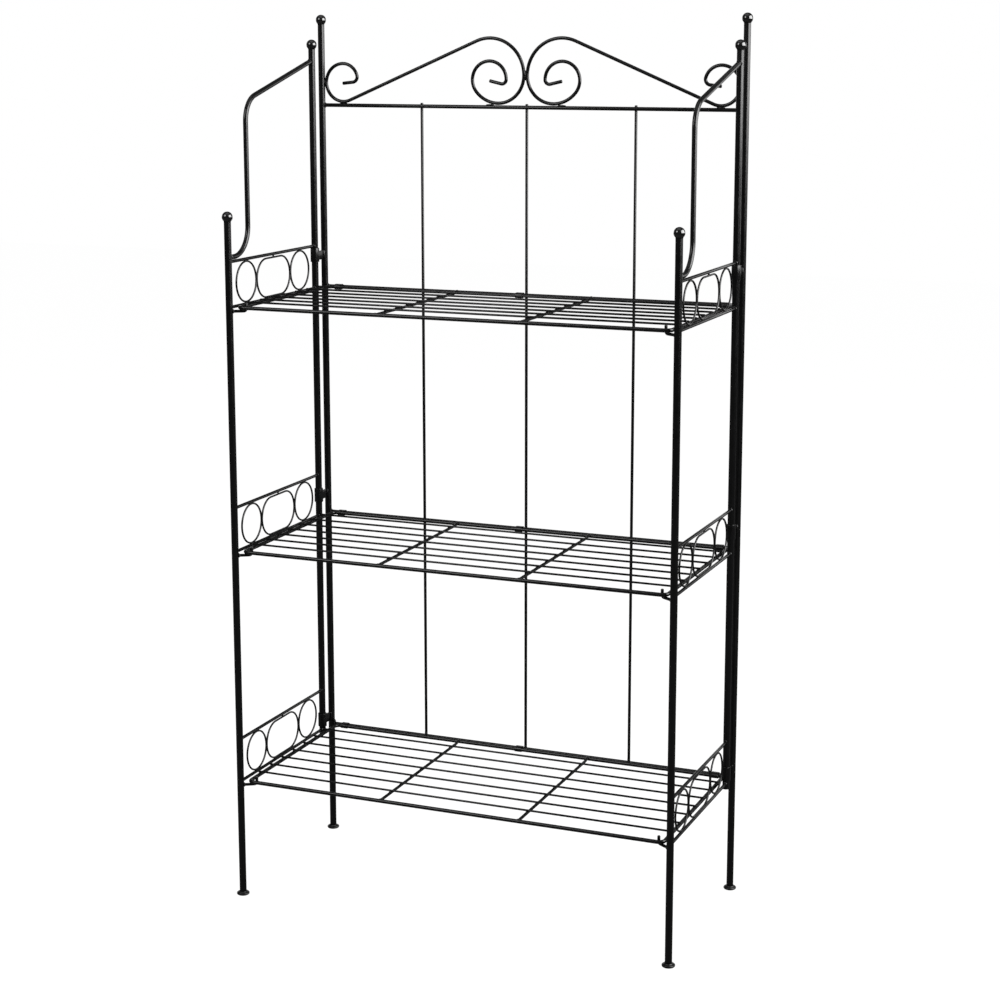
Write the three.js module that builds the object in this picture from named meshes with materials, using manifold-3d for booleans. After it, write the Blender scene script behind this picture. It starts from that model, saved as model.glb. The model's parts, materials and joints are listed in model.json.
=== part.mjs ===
// Folding three-shelf bakers rack in black steel rod and tube.
// Millimetres, +X to the right, +Y to the rear, +Z up, origin on the floor under the middle of the rack.
import * as THREE from "three";
import { mergeVertices } from "three/addons/utils/BufferGeometryUtils.js";
import Module from "manifold-3d";

const wasm = await Module();
wasm.setup();

// Arrangement in plan, from post axis to post axis
const rackWidth = 706;
const rackDepth = 315;
const hingeSetback = 34; // each side frame's rear post stands this far ahead of its back post

// Heights above the floor
const bottomShelfHeight = 187;
const middleShelfHeight = 556.5;
const topShelfHeight = 934;

// Rises of the finials' balls above the top shelf
const backFinialRise = 427;
const rearFinialRise = 388;
const frontFinialRise = 136;
const crestDrop = 134.5; // of the crest rail below the back finials

// Gaps and overlaps
const weldGap = 0.3; // left between two pieces that are welded or pressed together
const weldSink = 0.6; // how far the rods of one welded panel run into each other
const turningGap = 0.4; // round a post or rail that something turns on
const cutOverrun = 2; // how far a cut runs past what it cuts

// Bars
const postDiameter = 10.8;
const postWall = 1;
const crestDiameter = 6;
const hingeRailDiameter = 6;
const uprightDiameter = 4.6;
const scrollDiameter = 5.4;
const sweepDiameter = 7.8;
const galleryRailDiameter = 5;
const ringWireDiameter = 3;
const shelfFrameDiameter = 6;
const shelfWireDiameter = 3.2;
const crossbarDiameter = 4.6;
const hookDiameter = 4.6;

// Finials and feet
const ballDiameter = 16.5;
const neckDiameter = 9.8;
const neckHeight = 2.2;
const collarHeight = 1.2;
const stemLength = 14;
const footDiameter = 20.5;
const footSoleDiameter = 17.5;
const footHeight = 5.4;
const footCrownDiameter = 13.6;
const footRimHeight = 2.4;
const rimRound = 1.1;

// Galleries at the ends of the shelves
const galleryHeight = 68.5; // between the axes of its two rails
const stadiumLength = 107; // middle ring, along its centre line
const stadiumDrop = 2; // of its top below the tops of the round rings

// Back frame
const uprightSpacing = 179;
const uprightNub = 2.2; // stands this far above the crest rail

// Scrolls: bend radii on the centre line, from the post to the middle
const curlRadius = 30;
const curlInnerRadius = 25.6;
const curlHookRadius = 8.5;
const curlTail = 18;
const spiralTopRadius = 57;
const spiralSideRadius = 43;
const spiralBottomRadius = 48;
const spiralRiseRadius = 29;
const spiralInnerRadius = 28;
const spiralHookRadius = 7;
const spiralTail = 20;
const curlTurns = [2, -74, -174]; // headings in degrees at which each bend ends
const spiralTurns = [-90, -180, -230, -360, -450, -553];

// Sweep rails from the side frames' rear posts down to the front posts
const sweepStartDrop = 24.5; // below the rear finials
const sweepKneeDrop = 58; // from there to where the slope and the upright stretch would cross
const sweepSetback = 62; // of the upright stretch behind the front post
const sweepKneeRadius = 40;
const sweepFootRadius = 44;

// Hinges
const sleeveDiameter = 14.2;
const sleeveHeight = 22.5;
const strapThickness = 3;
const strapHeight = 14.5;
const rearPostTail = 6; // below the bottom gallery's lower rail
const topSleeveRise = 42.5; // of each sleeve's lower end above its shelf
const middleSleeveRise = 23;
const bottomSleeveRise = 5.5;

// Shelves
const wiresPerShelf = 7;
const shelfSideInset = 12.3; // from the gallery's plane to the shelf's side rods
const shelfFrontSetback = 4; // from the front posts' line to the front rod
const shelfCornerRadius = 9;
const hingeRodGap = 0.6; // between the shelf's rear rod and the hinge rail
const wireOverhang = 3.6; // past the side rod's axis
const crossbarRise = 2.4; // where its rear end laps over the rear rod
const crossbarBendRadius = 30;
const crossbarSpacingShare = 1 / 3; // of the shelf's width
const clipWidth = 11;
const clipThickness = 0.9;
const clipSections = 3; // round a quarter of a clip's end

// Shelf hooks on the front posts
const hookBendRadius = 4;
const hookTipRise = 6.4; // above the shelf frame's axis
const hookPlay = 4; // between the hook's tip and the shelf's front and side rods

// Faces round each bar, and degrees of bend between sections
const postSides = 14;
const railSides = 8;
const rodSides = 8;
const wireSides = 6;
const bendStep = 15;
const hookBendStep = 24;
const ringSections = 18;
const lobeSections = 9;
const cornerSections = 5;
const ballSections = 7;

// Derived places
const backFinialHeight = topShelfHeight + backFinialRise;
const rearFinialHeight = topShelfHeight + rearFinialRise;
const frontFinialHeight = topShelfHeight + frontFinialRise;
const crestHeight = backFinialHeight - crestDrop;
const sweepStartHeight = rearFinialHeight - sweepStartDrop;
const sweepKneeHeight = sweepStartHeight - sweepKneeDrop;
const halfWidth = rackWidth / 2;
const backLine = rackDepth / 2;
const frontLine = -rackDepth / 2;
const pivotLine = backLine - hingeSetback;
const postRadius = postDiameter / 2;
const shelfHalfWidth = halfWidth - shelfSideInset;
const shelfFront = frontLine + shelfFrontSetback;
const shelfRear = backLine - (hingeRailDiameter + shelfFrameDiameter) / 2 - hingeRodGap;
const levels = [
  { name: "bottom", height: bottomShelfHeight, sleeveRise: bottomSleeveRise },
  { name: "middle", height: middleShelfHeight, sleeveRise: middleSleeveRise },
  { name: "top", height: topShelfHeight, sleeveRise: topSleeveRise },
];
const sides = [
  { name: "left", sign: -1 },
  { name: "right", sign: 1 },
];

// Materials
const enamel = new THREE.MeshStandardMaterial({ color: 0x0b0b0c, roughness: 0.32, metalness: 0.25 });
const lacquer = new THREE.MeshStandardMaterial({ color: 0x08080a, roughness: 0.18, metalness: 0.25 });
const glide = new THREE.MeshStandardMaterial({ color: 0x111112, roughness: 0.5, metalness: 0 });

const rack = new THREE.Group();

function addPiece(name, geometry, material = enamel) {
  const mesh = new THREE.Mesh(geometry, material);
  mesh.name = name;
  rack.add(mesh);
}

// Solids for joining and cutting

function solidOf(geometry) {
  const bare = geometry.clone();
  for (const extra of ["normal", "uv"]) bare.deleteAttribute(extra);
  const merged = mergeVertices(bare);
  return new wasm.Manifold(
    new wasm.Mesh({
      numProp: 3,
      vertProperties: merged.attributes.position.array,
      triVerts: new Uint32Array(merged.index.array),
    }),
  );
}

function geometryOf(solid) {
  const mesh = solid.getMesh();
  const geometry = new THREE.BufferGeometry();
  geometry.setAttribute("position", new THREE.BufferAttribute(mesh.vertProperties, mesh.numProp));
  geometry.setIndex(new THREE.BufferAttribute(mesh.triVerts, 1));
  geometry.computeVertexNormals();
  return geometry;
}

function joined(geometries) {
  return geometryOf(geometries.map(solidOf).reduce((whole, piece) => whole.add(piece)));
}

function cut(geometry, cutters) {
  const whole = solidOf(geometry);
  return geometryOf(cutters.map(solidOf).reduce((rest, cutter) => rest.subtract(cutter), whole));
}

// Bars and bent rods

// A straight round bar between two points.
function bar(from, to, diameter, faces) {
  const along = to.clone().sub(from);
  const geometry = new THREE.CylinderGeometry(diameter / 2, diameter / 2, along.length(), faces);
  const cylinderAxis = new THREE.Vector3(0, 1, 0);
  const turn = new THREE.Quaternion().setFromUnitVectors(cylinderAxis, along.clone().normalize());
  geometry.applyQuaternion(turn);
  const middle = from.clone().add(to).multiplyScalar(1 / 2);
  return geometry.translate(middle.x, middle.y, middle.z);
}

// An upright bar, used to cut a fish mouth where a rail meets a post.
function postCutter(x, y, diameter) {
  const low = new THREE.Vector3(x, y, -cutOverrun);
  const high = new THREE.Vector3(x, y, backFinialHeight + cutOverrun);
  return bar(low, high, diameter + 2 * weldGap, postSides);
}

// A centre line with a section at each station and nowhere else.
class StationPath extends THREE.Curve {
  constructor(stations) {
    super();
    this.stations = stations;
  }
  at(share) {
    return this.stations[Math.round(share * (this.stations.length - 1))];
  }
  getPoint(share) {
    return this.at(share).point.clone();
  }
  getPointAt(share) {
    return this.getPoint(share);
  }
  getTangentAt(share) {
    return this.at(share).tangent.clone();
  }
}

// Lays a flat route on a plane through an origin, with one direction across and one up.
function onPlane(route, origin, across, up) {
  const lay = (a, b) => across.clone().multiplyScalar(a).addScaledVector(up, b);
  return route.map(({ a, b, heading }) => ({
    point: lay(a, b).add(origin),
    tangent: lay(Math.cos(heading), Math.sin(heading)),
  }));
}

// Walks straights and bends from a start: {run} goes straight on, {radius, turn} bends, to the left if
// the turn is above zero.
function walk(start, moves, step = bendStep) {
  const route = [{ ...start }];
  let { a, b, heading } = start;
  for (const { run, radius, turn } of moves) {
    if (run !== undefined) {
      a += run * Math.cos(heading);
      b += run * Math.sin(heading);
      route.push({ a, b, heading });
      continue;
    }
    const count = Math.max(2, Math.ceil(Math.abs(THREE.MathUtils.radToDeg(turn)) / step));
    const side = Math.sign(turn);
    const centreA = a - side * radius * Math.sin(heading);
    const centreB = b + side * radius * Math.cos(heading);
    for (let k = 1; k <= count; k++) {
      const now = heading + (turn * k) / count;
      route.push({
        a: centreA + side * radius * Math.sin(now),
        b: centreB - side * radius * Math.cos(now),
        heading: now,
      });
    }
    heading += turn;
    ({ a, b } = route.at(-1));
  }
  return route;
}

// The same route from its far end.
function backwards(route) {
  return route.map(({ a, b, heading }) => ({ a, b, heading: heading + Math.PI })).reverse();
}

function roundSection(diameter, faces) {
  const section = new THREE.Shape();
  for (let k = 0; k < faces; k++) {
    const angle = (2 * Math.PI * k) / faces;
    const [u, v] = [(diameter / 2) * Math.cos(angle), (diameter / 2) * Math.sin(angle)];
    if (k === 0) section.moveTo(u, v);
    else section.lineTo(u, v);
  }
  section.closePath();
  return section;
}

// A rod bent along stations, closed at both ends.
function bentRod(stations, diameter, faces) {
  return new THREE.ExtrudeGeometry(roundSection(diameter, faces), {
    steps: stations.length - 1,
    extrudePath: new StationPath(stations),
  });
}

// A rod bent into a closed loop: the last station repeats the first.
function loopRod(stations, diameter, faces) {
  return new THREE.TubeGeometry(new StationPath(stations), stations.length - 1, diameter / 2, faces, true);
}

// A rounded rectangle's route, anticlockwise, centred on zero.
function roundedLoop(length, height, radius, sectionsPerCorner) {
  const flat = length - 2 * radius;
  const rise = height - 2 * radius;
  const corner = { radius, turn: Math.PI / 2 };
  const start = { a: -flat / 2, b: -height / 2, heading: 0 };
  const straight = (run) => (run > 0 ? [{ run }] : []);
  const half = [...straight(flat), corner, ...straight(rise), corner];
  return walk(start, [...half, ...half], 90 / sectionsPerCorner);
}

// Turned pieces, from a profile of [radius, height] points that begins and ends on the axis
function turned(profile, faces = postSides) {
  return new THREE.LatheGeometry(profile.map(([r, h]) => new THREE.Vector2(r, h)), faces);
}

// Stands a turned piece on +Z at a place.
function standing(geometry, x, y, z) {
  return geometry.rotateX(Math.PI / 2).translate(x, y, z);
}

// A hollow post, open at both ends.
function tube(x, y, low, high) {
  const bore = postRadius - postWall;
  const wall = [
    [bore, low],
    [postRadius, low],
    [postRadius, high],
    [bore, high],
    [bore, low],
  ];
  return standing(turned(wall), x, y, 0);
}

const stemRadius = postRadius - postWall - weldGap;
const ballRadius = ballDiameter / 2;
const neckRadius = neckDiameter / 2;
// The ball begins where its surface is as wide as the neck.
const ballSeat = Math.sqrt(ballRadius ** 2 - neckRadius ** 2);
const finialSeat = ballSeat + neckHeight + collarHeight; // ball's middle above the post's end

// A ball on a short neck and collar, with a stem that goes down inside the post.
function finial(x, y, ballHeight) {
  const start = Math.asin(neckRadius / ballRadius);
  const profile = [
    [0, -finialSeat - stemLength],
    [stemRadius, -finialSeat - stemLength],
    [stemRadius, -finialSeat],
    [postRadius, -finialSeat],
    [postRadius, -finialSeat + collarHeight],
    [neckRadius, -finialSeat + collarHeight + neckHeight / 2],
  ];
  for (let k = 0; k < ballSections; k++) {
    const angle = start + ((Math.PI - start) * k) / ballSections;
    profile.push([ballRadius * Math.sin(angle), -ballRadius * Math.cos(angle)]);
  }
  profile.push([0, ballRadius]);
  return standing(turned(profile), x, y, ballHeight);
}

// A round-rimmed glide with a stem that goes up inside the post.
function foot(x, y) {
  const [sole, rim, crown] = [footSoleDiameter / 2, footDiameter / 2, footCrownDiameter / 2];
  const profile = [
    [0, 0],
    [sole, 0],
    [rim, footRimHeight - rimRound],
    [rim, footRimHeight + rimRound],
    [crown, footHeight],
    [stemRadius, footHeight],
    [stemRadius, footHeight + stemLength],
    [0, footHeight + stemLength],
  ];
  return standing(turned(profile), x, y, 0);
}

const postLow = footHeight + weldGap;
const postTopUnder = (ballHeight) => ballHeight - finialSeat - weldGap;

// Back frame

const crestSpan = halfWidth;

// A cross rail between the back posts, fish-mouthed at both ends.
function crossRail(height, diameter) {
  const from = new THREE.Vector3(-crestSpan, backLine, height);
  const to = new THREE.Vector3(crestSpan, backLine, height);
  const cutters = sides.map(({ sign }) => postCutter(sign * halfWidth, backLine, postDiameter));
  return cut(bar(from, to, diameter, railSides), cutters);
}

for (const { name, sign } of sides) {
  const x = sign * halfWidth;
  addPiece(`${name}_back_post`, tube(x, backLine, postLow, postTopUnder(backFinialHeight)));
  addPiece(`${name}_back_finial`, finial(x, backLine, backFinialHeight), lacquer);
  addPiece(`${name}_back_foot`, foot(x, backLine), glide);
}
addPiece("crest_rail", crossRail(crestHeight, crestDiameter));
for (const { name, height } of levels) {
  addPiece(`hinge_rail_${name}`, crossRail(height, hingeRailDiameter));
}

// Upright rods stand behind the rails, from the lowest hinge rail to just over the crest rail.
const uprightLine = backLine + Math.max(crestDiameter, hingeRailDiameter) / 2 + weldGap + uprightDiameter / 2;
const uprightLow = bottomShelfHeight - hingeRailDiameter / 2;
const uprightHigh = crestHeight + crestDiameter / 2 + uprightNub;
["left", "centre", "right"].forEach((place, k) => {
  const x = (k - 1) * uprightSpacing;
  const from = new THREE.Vector3(x, uprightLine, uprightLow);
  const to = new THREE.Vector3(x, uprightLine, uprightHigh);
  addPiece(`upright_rod_${place}`, bar(from, to, uprightDiameter, rodSides));
});

// Each scroll touches its post, stands twice on the crest rail and meets the other in the middle.
// Its two ends bend to the right from the straight between them, so both are walked outwards from it.
const scrollRadius = scrollDiameter / 2;
const scrollSeat = crestHeight + crestDiameter / 2 + weldGap + scrollRadius;
const curlCentre = {
  a: -halfWidth + postRadius + weldGap + scrollRadius + curlRadius,
  b: scrollSeat + curlRadius,
};
const spiralCentre = {
  a: -weldGap / 2 - scrollRadius - spiralTopRadius,
  b: scrollSeat + spiralSideRadius,
};
const centresA = spiralCentre.a - curlCentre.a;
const centresB = spiralCentre.b - curlCentre.b;
const bothRadii = curlRadius + spiralTopRadius;
const straightLength = Math.sqrt(centresA ** 2 + centresB ** 2 - bothRadii ** 2);
const straightHeading = Math.atan2(centresB, centresA) + Math.atan2(bothRadii, straightLength);

function scrollEnd(centre, heading, radii, turns, tail) {
  const start = {
    a: centre.a - radii[0] * Math.sin(heading),
    b: centre.b + radii[0] * Math.cos(heading),
    heading,
  };
  let from = heading;
  const moves = radii.map((radius, k) => {
    const to = THREE.MathUtils.degToRad(turns[k]);
    const turn = to - from;
    from = to;
    return { radius, turn };
  });
  return walk(start, [...moves, { run: tail }]);
}

const curlRadii = [curlRadius, curlInnerRadius, curlHookRadius];
const spiralRadii = [
  spiralTopRadius,
  spiralSideRadius,
  spiralBottomRadius,
  spiralRiseRadius,
  spiralInnerRadius,
  spiralHookRadius,
];
const curl = scrollEnd(curlCentre, straightHeading + Math.PI, curlRadii, curlTurns, curlTail);
const spiral = scrollEnd(spiralCentre, straightHeading, spiralRadii, spiralTurns, spiralTail);
const scrollRoute = [...backwards(curl), ...spiral];
const atBack = new THREE.Vector3(0, backLine, 0);
const rightward = new THREE.Vector3(1, 0, 0);
const rearward = new THREE.Vector3(0, 1, 0);
const upward = new THREE.Vector3(0, 0, 1);
for (const { name, sign } of sides) {
  const across = new THREE.Vector3(-sign, 0, 0);
  const stations = onPlane(scrollRoute, atBack, across, upward);
  addPiece(`${name}_scroll`, bentRod(stations, scrollDiameter, rodSides));
}

// Hinges: a sleeve round the side frame's rear post, with a strap welded to the back post.
function hinge(x, low) {
  const bore = postRadius + turningGap;
  const outer = sleeveDiameter / 2;
  const ring = [
    [bore, 0],
    [outer, 0],
    [outer, sleeveHeight],
    [bore, sleeveHeight],
    [bore, 0],
  ];
  const sleeve = standing(turned(ring), x, pivotLine, low);
  const strapFrom = pivotLine + (bore + outer) / 2;
  const strapTo = backLine;
  const strap = new THREE.BoxGeometry(strapThickness, strapTo - strapFrom, strapHeight);
  strap.translate(x, (strapFrom + strapTo) / 2, low + (sleeveHeight - strapHeight) / 4 + strapHeight / 2);
  return cut(joined([sleeve, strap]), [postCutter(x, backLine, postDiameter)]);
}

for (const { name, sign } of sides) {
  for (const level of levels) {
    addPiece(`${name}_hinge_${level.name}`, hinge(sign * halfWidth, level.height + level.sleeveRise));
  }
}

// Side frames

// A gallery: two rails with a ring, a long ring and a ring welded between them. The long ring is a little
// lower than the others and hangs from the top rail by a nub.
function gallery(x, height) {
  const middleY = (frontLine + pivotLine) / 2;
  const cutters = [frontLine, pivotLine].map((y) => postCutter(x, y, postDiameter));
  const rails = [0, galleryHeight].map((rise) => {
    const from = new THREE.Vector3(x, frontLine, height + rise);
    const to = new THREE.Vector3(x, pivotLine, height + rise);
    return cut(bar(from, to, galleryRailDiameter, railSides), cutters);
  });
  const ringHeight = galleryHeight - galleryRailDiameter - ringWireDiameter + 2 * weldSink;
  const ringRadius = ringHeight / 2;
  const ringOffset = stadiumLength / 2 + ringWireDiameter - weldSink + ringRadius;
  const centreHeight = height + galleryHeight / 2;
  const lay = (route, y, z) => onPlane(route, new THREE.Vector3(x, y, z), rearward, upward);
  const ring = roundedLoop(ringHeight, ringHeight, ringRadius, ringSections / 4);
  const lobeHeight = ringHeight - stadiumDrop;
  const lobe = roundedLoop(stadiumLength, lobeHeight, lobeHeight / 2, lobeSections / 2);
  const lobeMiddle = centreHeight - stadiumDrop / 2;
  const loops = [
    lay(ring, middleY - ringOffset, centreHeight),
    lay(lobe, middleY, lobeMiddle),
    lay(ring, middleY + ringOffset, centreHeight),
  ].map((stations) => loopRod(stations, ringWireDiameter, wireSides));
  const nubLow = new THREE.Vector3(x, middleY, lobeMiddle + lobeHeight / 2);
  const nubHigh = new THREE.Vector3(x, middleY, height + galleryHeight);
  return joined([...rails, ...loops, bar(nubLow, nubHigh, ringWireDiameter, wireSides)]);
}

// The rail that sweeps from high on the rear post down to the front post.
function sweep(x) {
  const kneeY = frontLine + sweepSetback;
  const topRailHeight = topShelfHeight + galleryHeight;
  const endHeight = topRailHeight + (galleryRailDiameter + sweepDiameter) / 2 + weldGap;
  const slopeRun = pivotLine - kneeY;
  const slope = Math.atan2(sweepKneeDrop, slopeRun);
  const kneeTurn = Math.PI / 2 - slope;
  const kneeTangent = sweepKneeRadius * Math.tan(kneeTurn / 2);
  // Across is forward here: the slope heads a little below level, then bends right and left again.
  const start = { a: 0, b: sweepStartHeight, heading: -slope };
  const route = walk(start, [
    { run: Math.hypot(slopeRun, sweepKneeDrop) - kneeTangent },
    { radius: sweepKneeRadius, turn: -kneeTurn },
    { run: sweepKneeHeight - kneeTangent - endHeight - sweepFootRadius },
    { radius: sweepFootRadius, turn: Math.PI / 2 },
    { run: sweepSetback - sweepFootRadius },
  ]);
  const origin = new THREE.Vector3(x, pivotLine, 0);
  const stations = onPlane(route, origin, new THREE.Vector3(0, -1, 0), upward);
  const cutters = [frontLine, pivotLine].map((y) => postCutter(x, y, postDiameter));
  return cut(bentRod(stations, sweepDiameter, railSides), cutters);
}

// A hook leaves the front post under the shelf, runs to the shelf's corner and turns up inside it.
function hook(x, sign, height) {
  const rodToTip = (shelfFrameDiameter + hookDiameter) / 2 + hookPlay;
  const tipInboard = shelfSideInset + rodToTip;
  const tipRearward = shelfFrontSetback + rodToTip;
  const reach = Math.hypot(tipInboard, tipRearward);
  const lean = Math.atan2(tipRearward, tipInboard);
  const armDrop = (shelfFrameDiameter + hookDiameter) / 2 + weldGap;
  const start = { a: 0, b: -armDrop, heading: 0 };
  const route = walk(
    start,
    [
      { run: reach - hookBendRadius },
      { radius: hookBendRadius, turn: Math.PI / 2 },
      { run: armDrop + hookTipRise - hookBendRadius },
    ],
    hookBendStep,
  );
  const across = new THREE.Vector3(-sign * Math.cos(lean), Math.sin(lean), 0);
  const stations = onPlane(route, new THREE.Vector3(x, frontLine, height), across, upward);
  return cut(bentRod(stations, hookDiameter, rodSides), [postCutter(x, frontLine, postDiameter)]);
}

for (const { name, sign } of sides) {
  const x = sign * halfWidth;
  const rearPostLow = bottomShelfHeight - galleryRailDiameter / 2 - rearPostTail;
  addPiece(`${name}_front_post`, tube(x, frontLine, postLow, postTopUnder(frontFinialHeight)));
  addPiece(`${name}_rear_post`, tube(x, pivotLine, rearPostLow, postTopUnder(rearFinialHeight)));
  addPiece(`${name}_front_finial`, finial(x, frontLine, frontFinialHeight), lacquer);
  addPiece(`${name}_rear_finial`, finial(x, pivotLine, rearFinialHeight), lacquer);
  addPiece(`${name}_front_foot`, foot(x, frontLine), glide);
  addPiece(`${name}_sweep_rail`, sweep(x));
  for (const level of levels) {
    addPiece(`${name}_gallery_${level.name}`, gallery(x, level.height));
    addPiece(`${name}_hook_${level.name}`, hook(x, sign, level.height));
  }
}

// Shelves

const shelfDepth = shelfRear - shelfFront;
const shelfMiddle = (shelfRear + shelfFront) / 2;
const wireRise = (shelfFrameDiameter + shelfWireDiameter) / 2 - weldSink;

// A strap welded round the shelf's rear rod that also goes round the hinge rail, on which it turns.
function clip(x, height) {
  const inner = hingeRailDiameter / 2 + turningGap;
  const bite = inner - shelfFrameDiameter / 2 + weldSink;
  const front = -(backLine - shelfRear) + bite;
  const [low, high, lowAgain] = [-Math.PI / 2, Math.PI / 2, (3 * Math.PI) / 2];
  const ring = (radius, path) =>
    path.absarc(0, 0, radius, low, high).absarc(front, 0, radius, high, lowAgain);
  const shape = ring(inner + clipThickness, new THREE.Shape());
  shape.closePath();
  const hole = ring(inner, new THREE.Path());
  hole.closePath();
  shape.holes.push(hole);
  const strap = new THREE.ExtrudeGeometry(shape, {
    depth: clipWidth,
    bevelEnabled: false,
    curveSegments: clipSections,
  });
  // The shape's across is the rack's rearward, and its depth runs to the right.
  strap.applyMatrix4(new THREE.Matrix4().makeBasis(rearward, upward, rightward));
  return strap.translate(x - clipWidth / 2, backLine, height);
}

// The frame, a rod bent into a rounded rectangle, with the shelf wires welded across the top of it and
// the clips that hang it on its hinge rail.
function deck(height) {
  const outline = roundedLoop(2 * shelfHalfWidth, shelfDepth, shelfCornerRadius, cornerSections);
  const stations = onPlane(outline, new THREE.Vector3(0, shelfMiddle, height), rightward, rearward);
  const pieces = [loopRod(stations, shelfFrameDiameter, rodSides)];
  const reach = shelfHalfWidth + wireOverhang;
  for (let k = 1; k <= wiresPerShelf; k++) {
    const y = shelfFront + (shelfDepth * k) / (wiresPerShelf + 1);
    const from = new THREE.Vector3(-reach, y, height + wireRise);
    const to = new THREE.Vector3(reach, y, height + wireRise);
    pieces.push(bar(from, to, shelfWireDiameter, wireSides));
  }
  const endClip = shelfHalfWidth - shelfCornerRadius - clipWidth / 2;
  const middleClip = -(uprightDiameter + clipWidth) / 2 - turningGap;
  for (const x of [-endClip, middleClip, endClip]) pieces.push(clip(x, height));
  return joined(pieces);
}

// A crossbar runs back under the wires, rises a little and laps over the shelf's rear rod.
function crossbar(x, height) {
  const wireUnderside = wireRise - shelfWireDiameter / 2;
  const level = wireUnderside - weldGap - crossbarDiameter / 2;
  const tilt = Math.acos(1 - (crossbarRise - level) / (2 * crossbarBendRadius));
  const riseRun = 2 * crossbarBendRadius * Math.sin(tilt);
  const route = walk(
    { a: shelfFront, b: level, heading: 0 },
    [
      { run: shelfDepth - riseRun },
      { radius: crossbarBendRadius, turn: tilt },
      { radius: crossbarBendRadius, turn: -tilt },
    ],
    hookBendStep,
  );
  const stations = onPlane(route, new THREE.Vector3(x, 0, height), rearward, upward);
  const rodCutters = [shelfFront, shelfRear].map((y) => {
    const from = new THREE.Vector3(x - crossbarDiameter, y, height);
    const to = new THREE.Vector3(x + crossbarDiameter, y, height);
    return bar(from, to, shelfFrameDiameter + 2 * weldGap, railSides);
  });
  return cut(bentRod(stations, crossbarDiameter, rodSides), rodCutters);
}

for (const { name, height } of levels) {
  addPiece(`shelf_${name}_deck`, deck(height));
  for (const side of sides) {
    const x = side.sign * shelfHalfWidth * crossbarSpacingShare;
    addPiece(`shelf_${name}_crossbar_${side.name}`, crossbar(x, height));
  }
}

export default rack;
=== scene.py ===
"""A folding bakers rack of bent steel rod and tube, sprayed black, on a pale studio floor."""

import json
import math
import random

import bmesh
import bpy
from mathutils import Matrix, Vector


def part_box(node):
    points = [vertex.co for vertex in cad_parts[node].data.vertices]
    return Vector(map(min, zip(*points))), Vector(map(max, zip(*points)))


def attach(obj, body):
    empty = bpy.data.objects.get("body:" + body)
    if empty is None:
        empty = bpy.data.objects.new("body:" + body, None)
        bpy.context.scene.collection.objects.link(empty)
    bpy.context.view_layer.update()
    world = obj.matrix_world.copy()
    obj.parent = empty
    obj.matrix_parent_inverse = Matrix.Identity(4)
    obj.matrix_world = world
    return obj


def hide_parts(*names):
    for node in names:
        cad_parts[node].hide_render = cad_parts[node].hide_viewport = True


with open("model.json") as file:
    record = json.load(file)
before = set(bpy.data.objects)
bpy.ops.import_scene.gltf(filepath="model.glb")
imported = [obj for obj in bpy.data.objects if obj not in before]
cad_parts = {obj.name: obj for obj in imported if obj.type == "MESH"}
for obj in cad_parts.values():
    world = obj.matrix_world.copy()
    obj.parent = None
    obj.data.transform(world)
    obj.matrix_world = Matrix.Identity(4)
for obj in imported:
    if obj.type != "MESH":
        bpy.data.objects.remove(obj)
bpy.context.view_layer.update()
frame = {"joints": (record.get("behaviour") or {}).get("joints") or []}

X, Y, Z = Vector((1, 0, 0)), Vector((0, 1, 0)), Vector((0, 0, 1))
MM = 0.001
SIDES = {"left": -1, "right": 1}
BOTH_WAYS = (-1, 1)
LEVELS = ("bottom", "middle", "top")

# Places, in millimetres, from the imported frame


def node_box(node):
    low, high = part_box(node)
    return low / MM, high / MM


def middle_of(node):
    low, high = node_box(node)
    return (low + high) / 2


joints = {joint["name"]: Vector(joint["pos_m"]) / MM for joint in frame["joints"]}
HALF_WIDTH = joints["right_side_turn"].x
PIVOT_LINE = joints["right_side_turn"].y
BACK_LINE = joints["shelf_top_lift"].y
FRONT_LINE = middle_of("left_front_post").y
HEIGHT = {level: joints[f"shelf_{level}_lift"].z for level in LEVELS}
CREST_HEIGHT = middle_of("crest_rail").z

# Sizes, in millimetres, and angles in degrees

POST = 10.8
POST_WALL = 1
CREST = 6
HINGE_RAIL = 6
UPRIGHT = 4.6
SCROLL = 5.4
SWEEP = 7.8
GALLERY_RAIL = 5
RING_WIRE = 3
SHELF_FRAME = 6
SHELF_WIRE = 3.2
CROSSBAR = 4.6
HOOK = 4.6

BALL = 16.5
NECK = 9.8
NECK_HEIGHT = 2.2
COLLAR_HEIGHT = 1.2
BALL_FILLET = 2.6  # between the ball and the collar

FOOT = 19.98
FOOT_HEIGHT = 5.4
FOOT_RIM = 2.1
FOOT_RIM_ARC = (-86, 62)
FOOT_LIFT = 0.1  # of the sole and the rim, over the ring that touches the floor
TREAD_IN = 0.9  # from the rim's centre to that ring
SOLE_IN = 1.4  # from the rim's centre to the flat of the sole
SHOULDER_OUT = 0.5  # from the post's skin
COVE = 2.3  # radius of the hollow between shoulder and rim
COVE_OUT = 2.4  # of its centre, from the shoulder
COVE_UP = 1.1  # of its centre, over the foot's height
COVE_ARC = (250, 205)
SEAT_IN = 0.3  # from the shoulder to the flat under the post
SEAT_LIFT = 0.1

GALLERY_HEIGHT = 68.5
STADIUM_LENGTH = 107
STADIUM_DROP = 2
STADIUM_TACKS = 0.4  # from its middle to each weld below, as a share of its straight

# Each bend's radius, and the heading that it ends on
CURL_BENDS = ((30, 2), (25.6, -74), (8.5, -174))
CURL_TAIL = 18
SPIRAL_BENDS = ((57, -90), (43, -180), (48, -230), (29, -360), (28, -450), (7, -553))
SPIRAL_TAIL = 20

SWEEP_START_DROP = 24.5
SWEEP_KNEE_DROP = 58
SWEEP_SETBACK = 62
SWEEP_KNEE = 40
SWEEP_FOOT = 44

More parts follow.
